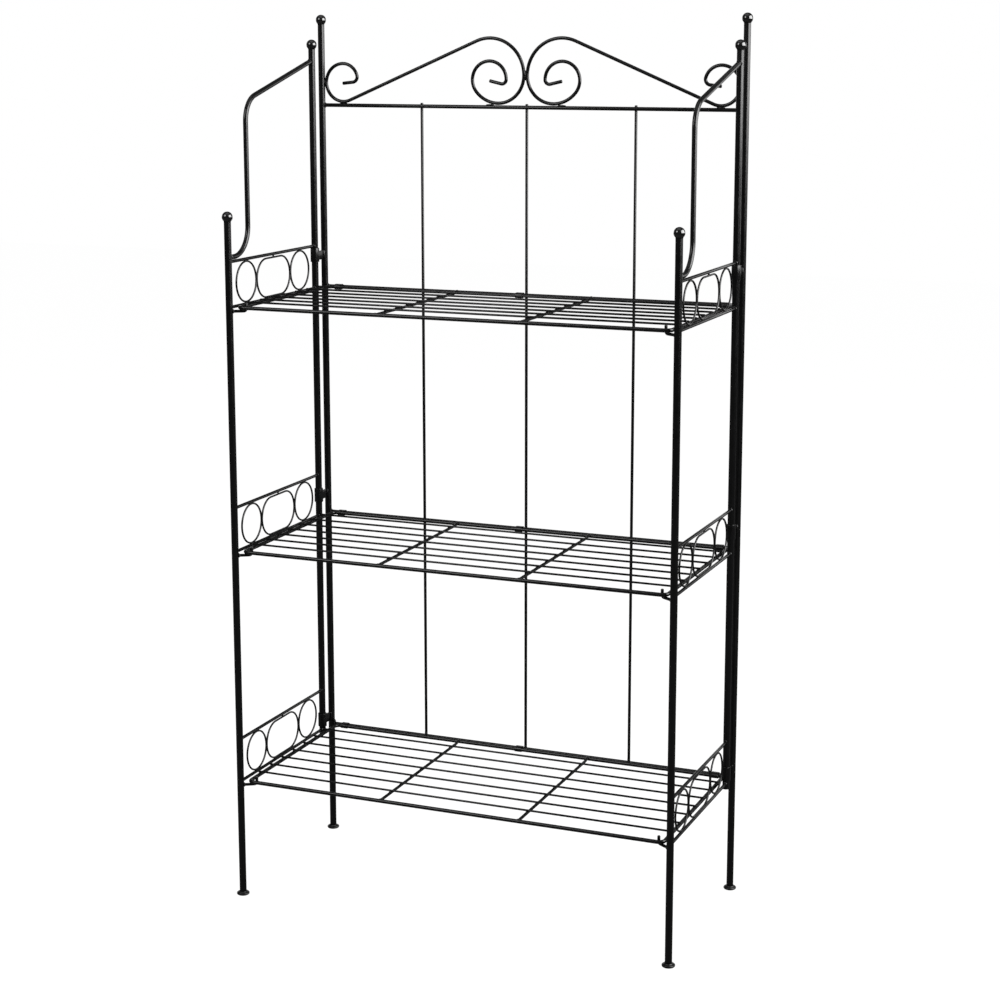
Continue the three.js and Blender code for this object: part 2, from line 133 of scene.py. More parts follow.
SLEEVE = 14.2
SLEEVE_PLAY = 0.4
STRAP = 3
STRAP_HEIGHT = 14.5
STRAP_LIFT = 0.25  # of the sleeve's spare height, under the strap

WIRES = 7
SIDE_INSET = 12.3
FRONT_SETBACK = 4
CORNER = 9
HINGE_GAP = 0.6
WIRE_OVERHANG = 3.6
CROSSBAR_RISE = 2.4
CROSSBAR_BEND = 30
CLIP_WIDTH = 11
CLIP = 0.9

HOOK_BEND = 4
HOOK_TIP_RISE = 6.4
HOOK_PLAY = 4

WELD_GAP = 0.3
BITE = 0.6
ROUNDED = 0.45  # edges of tube ends, sleeves and straps
CAP_ROUNDING = 0.22  # of a rod's diameter, at its ends

# Weld metal: each drop's reach along X, Y and Z, then how lumpy it is

DROPS = {
    "rail_end": ((2.6, 2, 3.6), 0.2),
    "upright_side": ((1.5, 1.3, 2.3), 0.1),
    "upright_end": ((2.4, 1.9, 1.5), 0.1),
    "scroll_side": ((1.7, 2.6, 7.5), 0.2),
    "scroll_seat": ((7, 2.5, 1.5), 0.2),
    "scroll_meeting": ((1.7, 2.6, 8), 0.2),
    "strap": ((1.3, 1.2, STRAP_HEIGHT * 0.47), 0.12),
    "ring": ((1.6, 4.2, 1.1), 0.12),
    "ring_side": ((1.55, 1.5, 7), 0.14),
    "stadium_nub": ((1.5, 1.7, 2.4), 0.12),
    "stadium_tack": ((1.5, 3.2, 1), 0.12),
    "clip": ((1, 1.7, 0.9), 0.1),
    "shelf_wire": ((2.3, 1.0, 0.9), 0.1),
    "crossbar_wire": ((1.9, 1.0, 0.9), 0.1),
    "crossbar_end": ((1.2, 2.4, 1.2), 0.14),
}
DROP_ROUNDS = 2

# Where drops lie, as shares of a bar's size, measured from its axis
UPRIGHT_SEAM = 0.42
STRAP_SEAM = 0.6
DECK_WIRE_SEAM = 0.45
DECK_FRAME_SEAM = 0.44
BAR_WIRE_SEAM = 0.42
BAR_TOP_SEAM = 0.46
BAR_END_SEAM = 0.42
REAR_ROD_SEAM = 0.46

# Where drops lie, in millimetres from the place that they are measured from
RAIL_END_RISE = 1
UPRIGHT_END_FORWARD = 0.9
UPRIGHT_END_RISE = 0.6
STADIUM_TACK_SINK = 0.2
BAR_END_FORWARD = 0.6

# Rings of weld round a rod's end: their thickness from the middle out, and how far along the rod
FILLET = 1.1
SWEEP_FILLET = 0.9
HOOK_FILLET = 0.9
GALLERY_FILLET = 0.8
CROSSBAR_FILLET = 0.8
FILLET_LUMPS = 0.1
FILLET_OUT = 0.25  # of its thickness, from the rod's skin
RAIL_FILLET_PLACE = 0.1
GALLERY_FILLET_PLACE = 0.1
SWEEP_TOP_FILLET_PLACE = 1.2
SWEEP_FOOT_FILLET_PLACE = 0.3
HOOK_FILLET_PLACE = 0.9
CROSSBAR_FILLET_PLACE = 0.2

# Faces round a bar, and steps along a bend or an edge

ROD_FACES = 20
WIRE_FACES = 12
UPRIGHT_FACES = 16
HOOK_FACES = 16
CROSSBAR_FACES = 18
SWEEP_FACES = 24
FILLET_FACES = 8
POST_FACES = 40
BEND_STEP = 6  # degrees between the rings of a bend
HOOK_BEND_STEP = 10
RING_STEPS = 48
FILLET_STEPS = 18
BALL_STEPS = 30
BALL_FILLET_STEPS = 6
FOOT_RIM_STEPS = 12
COVE_STEPS = 5
CLIP_STEPS = 10
EDGE_STEPS = 3
STRAP_EDGE_STEPS = 2

MERGED = 0.0005  # points closer than this are one
SORTED_TO = 2  # decimals of a place, for an order that is the same each run
ALONG = 0.5  # a heading with more than this on an axis runs along it
CREASE = 42  # a sharper edge than this stays an edge
BALL_CREASE = 50
FOOT_CREASE = 35

rng = random.Random(11)

# Finishes

MOTTLE_SCALE = 55
GRAIN_SCALE = 2600
PEEL_DEPTH = 0.0006
GRAIN_DEPTH = 0.0002
COAT_ROUGHNESS = 0.06


def node(tree, kind, place=(0, 0), **values):
    """A shader node with its properties or, for names with a capital, its sockets set."""
    made = tree.nodes.new(kind)
    made.location = place
    for name, value in values.items():
        if name[0].isupper():
            made.inputs[name.replace("_", " ")].default_value = value
        else:
            setattr(made, name, value)
    return made


def sprayed_coat():
    """Sprayed and baked enamel: soft orange peel, fine grain, and a mottle in tone and gloss."""
    group = bpy.data.node_groups.new("sprayed_coat", "ShaderNodeTree")
    for name, way, kind in (
        ("Vector", "INPUT", "Vector"),
        ("Dark", "INPUT", "Color"),
        ("Light", "INPUT", "Color"),
        ("Smoothest", "INPUT", "Float"),
        ("Roughest", "INPUT", "Float"),
        ("Peel Scale", "INPUT", "Float"),
        ("Peel Height", "INPUT", "Float"),
        ("Grain Height", "INPUT", "Float"),
        ("Color", "OUTPUT", "Color"),
        ("Roughness", "OUTPUT", "Float"),
        ("Normal", "OUTPUT", "Vector"),
    ):
        group.interface.new_socket(name, in_out=way, socket_type=f"NodeSocket{kind}")
    inside = node(group, "NodeGroupInput", (-900, 0))
    outside = node(group, "NodeGroupOutput", (700, 0))
    link = group.links.new

    mottle = node(group, "ShaderNodeTexNoise", (-600, 300), Scale=MOTTLE_SCALE, Detail=4, Roughness=0.6)
    spread = node(group, "ShaderNodeMapRange", (-350, 300), From_Min=0.3, From_Max=0.7)
    tone = node(group, "ShaderNodeMix", (0, 350), data_type="RGBA")
    gloss = node(group, "ShaderNodeMapRange", (0, 100))
    link(inside.outputs["Vector"], mottle.inputs["Vector"])
    link(mottle.outputs["Fac"], spread.inputs["Value"])
    link(spread.outputs["Result"], tone.inputs["Factor"])
    link(inside.outputs["Dark"], tone.inputs["A"])
    link(inside.outputs["Light"], tone.inputs["B"])
    link(spread.outputs["Result"], gloss.inputs["Value"])
    link(inside.outputs["Smoothest"], gloss.inputs["To Min"])
    link(inside.outputs["Roughest"], gloss.inputs["To Max"])

    peel = node(group, "ShaderNodeTexNoise", (-600, -100), Detail=1, Roughness=0.4)
    grain = node(group, "ShaderNodeTexNoise", (-600, -350), Scale=GRAIN_SCALE, Detail=2, Roughness=0.5)
    fine = node(group, "ShaderNodeBump", (50, -350), Distance=GRAIN_DEPTH)
    soft = node(group, "ShaderNodeBump", (300, -200), Distance=PEEL_DEPTH)
    link(inside.outputs["Vector"], peel.inputs["Vector"])
    link(inside.outputs["Peel Scale"], peel.inputs["Scale"])
    link(inside.outputs["Vector"], grain.inputs["Vector"])
    link(grain.outputs["Fac"], fine.inputs["Height"])
    link(inside.outputs["Grain Height"], fine.inputs["Strength"])
    link(fine.outputs["Normal"], soft.inputs["Normal"])
    link(peel.outputs["Fac"], soft.inputs["Height"])
    link(inside.outputs["Peel Height"], soft.inputs["Strength"])

    link(tone.outputs["Result"], outside.inputs["Color"])
    link(gloss.outputs["Result"], outside.inputs["Roughness"])
    link(soft.outputs["Normal"], outside.inputs["Normal"])
    return group


coat_group = sprayed_coat()


def finish(name, dark, light, roughness, peel, grain, specular, coat=0.0):
    """A black finish: two tones, its roughness range, its texture, and constants on its own shader."""
    material = bpy.data.materials.new(name)
    material.use_nodes = True
    tree = material.node_tree
    shader = tree.nodes["Principled BSDF"]
    place = node(tree, "ShaderNodeTexCoord", (-700, 0))
    skin = node(tree, "ShaderNodeGroup", (-400, 0), node_tree=coat_group)
    values = {
        "Dark": (*dark, 1),
        "Light": (*light, 1),
        "Smoothest": roughness[0],
        "Roughest": roughness[1],
        "Peel Scale": peel[0],
        "Peel Height": peel[1],
        "Grain Height": grain,
    }
    for key, value in values.items():
        skin.inputs[key].default_value = value
    tree.links.new(place.outputs["Object"], skin.inputs["Vector"])
    for wanted, socket in (("Color", "Base Color"), ("Roughness", "Roughness"), ("Normal", "Normal")):
        tree.links.new(skin.outputs[wanted], shader.inputs[socket])
    shader.inputs["Specular IOR Level"].default_value = specular
    shader.inputs["Coat Weight"].default_value = coat
    shader.inputs["Coat Roughness"].default_value = COAT_ROUGHNESS
    return material


enamel = finish(
    "black_enamel",
    dark=(0.0016, 0.0016, 0.0016),
    light=(0.0034, 0.0034, 0.0037),
    roughness=(0.2, 0.26),
    peel=(260, 0.012),
    grain=0.004,
    specular=0.5,
)
weld_skin = finish(
    "enamel_over_weld",
    dark=(0.0018, 0.0018, 0.0018),
    light=(0.005, 0.005, 0.0054),
    roughness=(0.24, 0.34),
    peel=(420, 0.1),
    grain=0.02,
    specular=0.6,
)
lacquer = finish(
    "ball_lacquer",
    dark=(0.0015, 0.0015, 0.0015),
    light=(0.0028, 0.0028, 0.003),
    roughness=(0.06, 0.09),
    peel=(200, 0.008),
    grain=0.001,
    specular=0.9,
    coat=0.5,
)
glide_skin = finish(
    "foot_plastic",
    dark=(0.0025, 0.0025, 0.0025),
    light=(0.0055, 0.0055, 0.0058),
    roughness=(0.28, 0.4),
    peel=(900, 0.05),
    grain=0.02,
    specular=0.5,
)

# Making shapes


def verts_of(made):
    return [part for part in made if isinstance(part, bmesh.types.BMVert)]


def edges_of(made):
    return [part for part in made if isinstance(part, bmesh.types.BMEdge)]


def edges_at(verts):
    return list({edge for vert in verts for edge in vert.link_edges})


def facing(heading, axis):
    """Turns a flat ring on XY so that it faces along heading, with its own Y on axis."""
    return Matrix((axis.cross(heading), axis, heading)).transposed().to_4x4()


def open_ring(bm, place, heading, axis, diameter, faces):
    """A flat ring of points that a rod is drawn out of."""
    turn = Matrix.Translation(place) @ facing(heading, axis)
    return bmesh.ops.create_circle(bm, segments=faces, radius=diameter / 2, matrix=turn)["verts"]


class Rod:
    """A round rod, drawn out straight and bent about one axis from a single ring."""

    def __init__(self, bm, place, heading, axis, diameter, faces=ROD_FACES):
        self.bm = bm
        self.place = Vector(place)
        self.heading = heading.normalized()
        self.axis = axis.normalized()
        self.diameter = diameter
        self.verts = open_ring(bm, self.place, self.heading, self.axis, diameter, faces)
        self.edges = edges_at(self.verts)
        self.first = list(self.edges)

    def run(self, length):
        made = bmesh.ops.extrude_edge_only(self.bm, edges=self.edges)["geom"]
        self.verts = verts_of(made)
        new = set(self.verts)
        self.edges = [edge for edge in edges_of(made) if set(edge.verts) <= new]
        bmesh.ops.translate(self.bm, verts=self.verts, vec=self.heading * length)
        self.place = self.place + self.heading * length
        return self

    def bend(self, radius, turn, step=BEND_STEP):
        """Bends by turn degrees about the rod's axis, to its other side if turn is below zero."""
        centre = self.place + self.axis.cross(self.heading) * math.copysign(radius, turn)
        made = bmesh.ops.spin(
            self.bm,
            geom=self.verts + self.edges,
            cent=centre,
            axis=self.axis,
            angle=math.radians(turn),
            steps=max(2, math.ceil(abs(turn) / step)),
            use_duplicate=False,
        )["geom_last"]
        self.verts = verts_of(made)
        self.edges = edges_of(made)
        swing = Matrix.Rotation(math.radians(turn), 3, self.axis)
        self.place = centre + swing @ (self.place - centre)
        self.heading = swing @ self.heading
        return self

    def cap(self, edges=None):
        """Closes an open end with a rounded face."""
        edges = edges or self.edges
        bmesh.ops.edgeloop_fill(self.bm, edges=edges)
        bmesh.ops.bevel(
            self.bm,
            geom=edges,
            offset=self.diameter * CAP_ROUNDING,
            affect="EDGES",
            segments=EDGE_STEPS,
            profile=0.5,
            material=-1,
        )
        return self

    def capped(self):
        """Closes both ends."""
        last = self.edges
        return self.cap(self.first).cap(last)


def straight_rod(bm, start, end, diameter, faces=ROD_FACES):
    along = Vector(end) - Vector(start)
    axis = X if abs(along.normalized().x) < ALONG else Y
    Rod(bm, start, along, axis, diameter, faces).run(along.length).capped()


def full_spin(bm, geom, centre, axis, steps):
    bmesh.ops.spin(
        bm,
        geom=geom,
        cent=centre,
        axis=axis,
        angle=math.tau,
        steps=steps,
        use_merge=True,
        use_duplicate=False,
    )


def hoop(bm, centre, radius, axis, thickness, faces=WIRE_FACES, steps=RING_STEPS):
    """A full ring of rod about an axis. Gives its points."""
    before = set(bm.verts)
    arm = Z if abs(axis.z) < ALONG else X
    verts = open_ring(bm, Vector(centre) + arm * radius, axis.cross(arm), axis, thickness, faces)
    full_spin(bm, verts + edges_at(verts), centre, axis, steps)
    return [vert for vert in bm.verts if vert not in before]


def turned(bm, profile, x, y, z, closed=False):
    """Spins a profile of (radius, height) points about an upright axis."""
    verts = [bm.verts.new((x + radius, y, z + height)) for radius, height in profile]
    pairs = list(zip(verts, verts[1:])) + ([(verts[-1], verts[0])] if closed else [])
    edges = [bm.edges.new(pair) for pair in pairs]
    full_spin(bm, verts + edges, (x, y, z), Z, POST_FACES)


def round_the(corner, radius, first, last, steps):
    """Points on an arc about a corner's centre, from one angle to another."""
    angles = [math.radians(first + (last - first) * k / steps) for k in range(steps + 1)]
    return [(corner[0] + radius * math.cos(angle), corner[1] + radius * math.sin(angle)) for angle in angles]


def lumpy(verts, amount):
    """Moves each vertex a little, as weld metal sets, and gives its faces the weld's finish."""
    for vert in sorted(verts, key=lambda vert: [round(part, SORTED_TO) for part in vert.co]):
        vert.co += Vector([rng.uniform(-amount, amount) for _ in range(3)])
    for face in {face for vert in verts for face in vert.link_faces}:
        face.material_index = 1


def drop(bm, centre, kind):
    """A drop of weld metal."""
    reach, lumps = DROPS[kind]
    place = Matrix.LocRotScale(Vector(centre), None, Vector(reach))
    verts = bmesh.ops.create_icosphere(bm, subdivisions=DROP_ROUNDS, radius=1, matrix=place)["verts"]
    lumpy(verts, lumps)


def fillet(bm, centre, axis, diameter, weld=FILLET):
    """A ring of weld metal round a rod where it meets what it stands on."""
    radius = diameter / 2 + weld * FILLET_OUT
    lumpy(hoop(bm, centre, radius, axis, weld * 2, FILLET_FACES, FILLET_STEPS), FILLET_LUMPS)


def piece(name, body, bm, nodes, skins=(enamel, weld_skin), crease=CREASE):
    """Makes a finished piece from a shape in millimetres, riding on a body in place of its nodes."""
    bmesh.ops.remove_doubles(bm, verts=bm.verts, dist=MERGED)
    bmesh.ops.recalc_face_normals(bm, faces=bm.faces)
    mesh = bpy.data.meshes.new(name)
    bm.to_mesh(mesh)
    bm.free()
    mesh.transform(Matrix.Scale(MM, 4))
    mesh.shade_smooth()
    mesh.set_sharp_from_angle(angle=math.radians(crease))
    for skin in skins:
        mesh.materials.append(skin)
    made = bpy.data.objects.new(name, mesh)
    bpy.context.scene.collection.objects.link(made)
    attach(made, body)
    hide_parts(*nodes)


# Posts, finials and feet


def post(node_name, body):
    low, high = node_box(node_name)
    middle = middle_of(node_name)
    outer = POST / 2
    bore = POST / 2 - POST_WALL
    profile = [
        (bore, low.z),
        (outer - ROUNDED, low.z),
        *round_the((outer - ROUNDED, low.z + ROUNDED), ROUNDED, -90, 0, EDGE_STEPS),
        (outer, high.z + WELD_GAP / 2),
        (bore, high.z + WELD_GAP / 2),
    ]
    bm = bmesh.new()
    turned(bm, profile, middle.x, middle.y, 0, closed=True)
    piece(f"{node_name}_tube", body, bm, [node_name])


def finial(node_name, body):
    """A ball over a collar, with a small hollow fillet between them."""
    middle = middle_of(node_name)
    radius = BALL / 2
    centre_height = node_box(node_name)[1].z - radius
    seat = math.sqrt(radius**2 - (NECK / 2) ** 2) + NECK_HEIGHT + COLLAR_HEIGHT
    collar = POST / 2
    hollow_out = collar + BALL_FILLET
    hollow = (hollow_out, -math.sqrt((radius + BALL_FILLET) ** 2 - hollow_out**2))
    lean = math.degrees(math.atan2(-hollow[1], hollow[0]))
    profile = [
        (0, -seat - WELD_GAP / 2),
        (collar, -seat - WELD_GAP / 2),
        *round_the(hollow, BALL_FILLET, 180, 180 - lean, BALL_FILLET_STEPS)[:-1],
        *round_the((0, 0), radius, -lean, 90, BALL_STEPS)[:-1],
        (0, radius),
    ]
    bm = bmesh.new()
    turned(bm, profile, middle.x, middle.y, centre_height)
    fillet_top = centre_height - radius * math.sin(math.radians(lean))
    for face in bm.faces:
        if face.calc_center_median().z < fillet_top:
            face.material_index = 1
    piece(f"{node_name}_ball", body, bm, [node_name], (lacquer, enamel), BALL_CREASE)


def foot(node_name, body):
    low = node_box(node_name)[0]
    middle = middle_of(node_name)
    rim = (FOOT / 2 - FOOT_RIM, FOOT_RIM + FOOT_LIFT)
    shoulder = POST / 2 + SHOULDER_OUT
    cove = (shoulder + COVE_OUT, FOOT_HEIGHT + COVE_UP)
    profile = [
        (0, FOOT_LIFT),
        (rim[0] - SOLE_IN, FOOT_LIFT),
        (rim[0] - TREAD_IN, 0),
        *round_the(rim, FOOT_RIM, *FOOT_RIM_ARC, FOOT_RIM_STEPS),
        *round_the(cove, COVE, *COVE_ARC, COVE_STEPS),
        (shoulder - SEAT_IN, FOOT_HEIGHT + SEAT_LIFT),
        (0, FOOT_HEIGHT + SEAT_LIFT),
    ]
    bm = bmesh.new()
    turned(bm, profile, middle.x, middle.y, low.z)
    piece(f"{node_name}_disc", body, bm, [node_name], (glide_skin,), FOOT_CREASE)


# Back frame


def cross_rail(node_name, height, diameter):
    reach = HALF_WIDTH - POST / 2 + BITE
    bm = bmesh.new()
    straight_rod(bm, (-reach, BACK_LINE, height), (reach, BACK_LINE, height), diameter)
    for sign in SIDES.values():
        end = sign * (HALF_WIDTH - POST / 2 - RAIL_FILLET_PLACE)
        fillet(bm, (end, BACK_LINE, height), X, diameter)
    if node_name == "hinge_rail_bottom":
        over = height + HINGE_RAIL / 2 + RAIL_END_RISE
        drop(bm, (POST / 2 - HALF_WIDTH, BACK_LINE, over), "rail_end")
    piece(f"{node_name}_rod", "back_frame", bm, [node_name])


def upright(node_name):
    low, high = node_box(node_name)
    x, y, _ = middle_of(node_name)
    seam = (y - UPRIGHT / 2 + BACK_LINE + HINGE_RAIL / 2) / 2
    bm = bmesh.new()
    straight_rod(bm, (x, y, low.z), (x, y, high.z), UPRIGHT, UPRIGHT_FACES)
    for height in (*HEIGHT.values(), CREST_HEIGHT):
        for sign in BOTH_WAYS:
            drop(bm, (x + sign * UPRIGHT * UPRIGHT_SEAM, seam, height), "upright_side")
    end = (x, y - UPRIGHT_END_FORWARD, low.z + HINGE_RAIL + UPRIGHT_END_RISE)
    drop(bm, end, "upright_end")
    piece(f"{node_name}_wire", "back_frame", bm, [node_name])


def scroll(side):
    """A bent scroll, made outwards both ways from the straight between its two curls."""
    across = -SIDES[side] * X
    axis = across.cross(Z)
    radius = SCROLL / 2
    seat = CREST_HEIGHT + CREST / 2 + WELD_GAP + radius
    curl_radius, top_radius, side_radius = CURL_BENDS[0][0], SPIRAL_BENDS[0][0], SPIRAL_BENDS[1][0]
    curl = Vector((-HALF_WIDTH + POST / 2 + WELD_GAP + radius + curl_radius, seat + curl_radius))
    spiral = Vector((-WELD_GAP / 2 - radius - top_radius, seat + side_radius))
    between = spiral - curl
    both = curl_radius + top_radius
    straight = math.sqrt(between.length_squared - both**2)
    heading = math.atan2(between.y, between.x) + math.atan2(both, straight)

    def lay(point):
        return across * point[0] + Y * BACK_LINE + Z * point[1]

    def pointing(angle):
        return across * math.cos(angle) + Z * math.sin(angle)

    bm = bmesh.new()
    start = lay(spiral + top_radius * Vector((-math.sin(heading), math.cos(heading))))
    ends = (
        (heading, 0, SPIRAL_BENDS, SPIRAL_TAIL),
        (heading + math.pi, straight, CURL_BENDS, CURL_TAIL),
    )
    for angle, lead, bends, tail in ends:
        rod = Rod(bm, start, pointing(angle), axis, SCROLL)
        if lead:
            rod.run(lead)
        now = math.degrees(angle)
        for bend_radius, wanted in bends:
            rod.bend(bend_radius, wanted - now)
            now = wanted
        rod.run(tail).cap()

    under = seat - radius - WELD_GAP / 2
    drop(bm, lay((curl.x - curl_radius - radius - WELD_GAP / 2, curl.y)), "scroll_side")
    drop(bm, lay((curl.x, under)), "scroll_seat")
    drop(bm, lay((spiral.x, under)), "scroll_seat")
    if side == "left":
        drop(bm, lay((0, spiral.y)), "scroll_meeting")
    piece(f"{side}_scroll_rod", "back_frame", bm, [f"{side}_scroll"])


def hinge(side, level):
    """A sleeve for the side frame's rear post, on a strap that is welded to the back post."""
    node_name = f"{side}_hinge_{level}"
    low, high = node_box(node_name)
    tall = high.z - low.z
    x = SIDES[side] * HALF_WIDTH
    bore = POST / 2 + SLEEVE_PLAY
    outer = SLEEVE / 2
    profile = [
        (bore, ROUNDED),
        *round_the((bore + ROUNDED, ROUNDED), ROUNDED, 180, 270, EDGE_STEPS),
        *round_the((outer - ROUNDED, ROUNDED), ROUNDED, -90, 0, EDGE_STEPS),
        *round_the((outer - ROUNDED, tall - ROUNDED), ROUNDED, 0, 90, EDGE_STEPS),
        *round_the((bore + ROUNDED, tall - ROUNDED), ROUNDED, 90, 180, EDGE_STEPS),
    ]
    bm = bmesh.new()
    turned(bm, profile, x, PIVOT_LINE, low.z, closed=True)

    start = PIVOT_LINE + (bore + outer) / 2
    end = BACK_LINE - POST / 2 + BITE
    middle = low.z + (tall - STRAP_HEIGHT) * STRAP_LIFT + STRAP_HEIGHT / 2
    size = Matrix.Diagonal((STRAP, end - start, STRAP_HEIGHT, 1))
    place = Matrix.Translation((x, (start + end) / 2, middle)) @ size
    strap = bmesh.ops.create_cube(bm, size=1, matrix=place)["verts"]
    bmesh.ops.bevel(
        bm,
        geom=edges_at(strap),
        offset=ROUNDED,
        affect="EDGES",
        segments=STRAP_EDGE_STEPS,
        profile=0.5,
        material=-1,
    )
    for y in (PIVOT_LINE + outer, BACK_LINE - POST / 2):
        for sign in BOTH_WAYS:
            drop(bm, (x + sign * STRAP * STRAP_SEAM, y, middle), "strap")
    piece(f"{node_name}_sleeve", "back_frame", bm, [node_name])


for side in SIDES:
    post(f"{side}_back_post", "back_frame")
    finial(f"{side}_back_finial", "back_frame")
    foot(f"{side}_back_foot", "back_frame")
    scroll(side)
    for level in LEVELS:
        hinge(side, level)
cross_rail("crest_rail", CREST_HEIGHT, CREST)
for level in LEVELS:
    cross_rail(f"hinge_rail_{level}", HEIGHT[level], HINGE_RAIL)
for where in ("left", "centre", "right"):
    upright(f"upright_rod_{where}")

# Side frames


def gallery(side, level):
    """Two rails with a ring, a long ring and a ring between them, all welded up as one panel."""
    node_name = f"{side}_gallery_{level}"
    x = SIDES[side] * HALF_WIDTH
    low = HEIGHT[level]
    high = low + GALLERY_HEIGHT
    front = FRONT_LINE + POST / 2
    rear = PIVOT_LINE - POST / 2
    bm = bmesh.new()
    for height in (low, high):
        straight_rod(bm, (x, front - BITE, height), (x, rear + BITE, height), GALLERY_RAIL)
        for y in (front + GALLERY_FILLET_PLACE, rear - GALLERY_FILLET_PLACE):
            fillet(bm, (x, y, height), Y, GALLERY_RAIL, GALLERY_FILLET)

    ring_height = GALLERY_HEIGHT - GALLERY_RAIL - RING_WIRE + 2 * BITE
    ring_radius = ring_height / 2
    offset = STADIUM_LENGTH / 2 + RING_WIRE - BITE + ring_radius
    middle = (FRONT_LINE + PIVOT_LINE) / 2
    centre = (low + high) / 2
    for y in (middle - offset, middle + offset):
        hoop(bm, (x, y, centre), ring_radius, X, RING_WIRE)
        for height in (low + GALLERY_RAIL / 2, high - GALLERY_RAIL / 2):
            drop(bm, (x, y, height), "ring")

    lobe_height = ring_height - STADIUM_DROP
    lobe_middle = centre - STADIUM_DROP / 2
    flat = STADIUM_LENGTH - lobe_height
    start = (x, middle - flat / 2, lobe_middle - lobe_height / 2)
    lobe = Rod(bm, start, Y, X, RING_WIRE, WIRE_FACES)
    lobe.run(flat).bend(lobe_height / 2, 180).run(flat).bend(lobe_height / 2, 180)
    drop(bm, (x, middle, (lobe_middle + lobe_height / 2 + high) / 2), "stadium_nub")
    for y in (middle - flat * STADIUM_TACKS, middle + flat * STADIUM_TACKS):
        drop(bm, (x, y, low + GALLERY_RAIL / 2 - STADIUM_TACK_SINK), "stadium_tack")
    for sign in BOTH_WAYS:
        touch = middle + sign * (STADIUM_LENGTH / 2 + (RING_WIRE - BITE) / 2)
        drop(bm, (x, touch, centre - STADIUM_DROP / 4), "ring_side")
    piece(f"{node_name}_panel", f"{side}_side", bm, [node_name])


def sweep(side):
    """The rail from high on the rear post, down over a knee, to the front post."""
    x = SIDES[side] * HALF_WIDTH
    rear_ball = node_box(f"{side}_rear_finial")[1].z - BALL / 2
    start_height = rear_ball - SWEEP_START_DROP
    run = PIVOT_LINE - FRONT_LINE - SWEEP_SETBACK
    slope = math.atan2(SWEEP_KNEE_DROP, run)
    knee_turn = math.pi / 2 - slope
    knee = SWEEP_KNEE * math.tan(knee_turn / 2)
    end_height = HEIGHT["top"] + GALLERY_HEIGHT + (GALLERY_RAIL + SWEEP) / 2 + WELD_GAP
    heading = -Y * math.cos(slope) - Z * math.sin(slope)
    inside = POST / 2 - POST_WALL / 2
    start = Vector((x, PIVOT_LINE, start_height)) + heading * inside
    bm = bmesh.new()
    rod = Rod(bm, start, heading, (-Y).cross(Z), SWEEP, SWEEP_FACES)
    rod.run(math.hypot(run, SWEEP_KNEE_DROP) - knee - inside)
    rod.bend(SWEEP_KNEE, -math.degrees(knee_turn))
    rod.run(start_height - SWEEP_KNEE_DROP - knee - end_height - SWEEP_FOOT)
    rod.bend(SWEEP_FOOT, 90)
    rod.run(SWEEP_SETBACK - SWEEP_FOOT - inside)
    rod.capped()
    fillet(bm, start + heading * SWEEP_TOP_FILLET_PLACE, heading, SWEEP, SWEEP_FILLET)
    end = (x, FRONT_LINE + POST / 2 + SWEEP_FOOT_FILLET_PLACE, end_height)
    fillet(bm, end, Y, SWEEP, SWEEP_FILLET)
    piece(f"{side}_sweep_rail_rod", f"{side}_side", bm, [f"{side}_sweep_rail"])


def hook(side, level):
    """Leaves the front post under the shelf and turns up inside the shelf's corner."""
    node_name = f"{side}_hook_{level}"
    sign = SIDES[side]
    spacing = (SHELF_FRAME + HOOK) / 2
    tip = (SIDE_INSET + spacing + HOOK_PLAY, FRONT_SETBACK + spacing + HOOK_PLAY)
    reach = math.hypot(*tip)
    lean = math.atan2(tip[1], tip[0])
    drop_height = spacing + WELD_GAP
    across = Vector((-sign * math.cos(lean), math.sin(lean), 0))
    inside = POST / 2 - POST_WALL / 2
    start = Vector((sign * HALF_WIDTH, FRONT_LINE, HEIGHT[level] - drop_height)) + across * inside
    bm = bmesh.new()
    rod = Rod(bm, start, across, across.cross(Z), HOOK, HOOK_FACES)
    rod.run(reach - HOOK_BEND - inside).bend(HOOK_BEND, 90, HOOK_BEND_STEP)
    rod.run(drop_height + HOOK_TIP_RISE - HOOK_BEND).capped()
    fillet(bm, start + across * HOOK_FILLET_PLACE, across, HOOK, HOOK_FILLET)
    piece(f"{node_name}_rod", f"{side}_side", bm, [node_name])


for side in SIDES:
    body = f"{side}_side"
    for where in ("front", "rear"):
        post(f"{side}_{where}_post", body)
        finial(f"{side}_{where}_finial", body)
    foot(f"{side}_front_foot", body)
    sweep(side)
    for level in LEVELS:
        gallery(side, level)
        hook(side, level)

# Shelves

SHELF_SIDE = HALF_WIDTH - SIDE_INSET
SHELF_FRONT = FRONT_LINE + FRONT_SETBACK
SHELF_REAR = BACK_LINE - (HINGE_RAIL + SHELF_FRAME) / 2 - HINGE_GAP
WIRE_RISE = (SHELF_FRAME + SHELF_WIRE) / 2 - BITE
WIRE_LINES = [SHELF_FRONT + (SHELF_REAR - SHELF_FRONT) * k / (WIRES + 1) for k in range(1, WIRES + 1)]


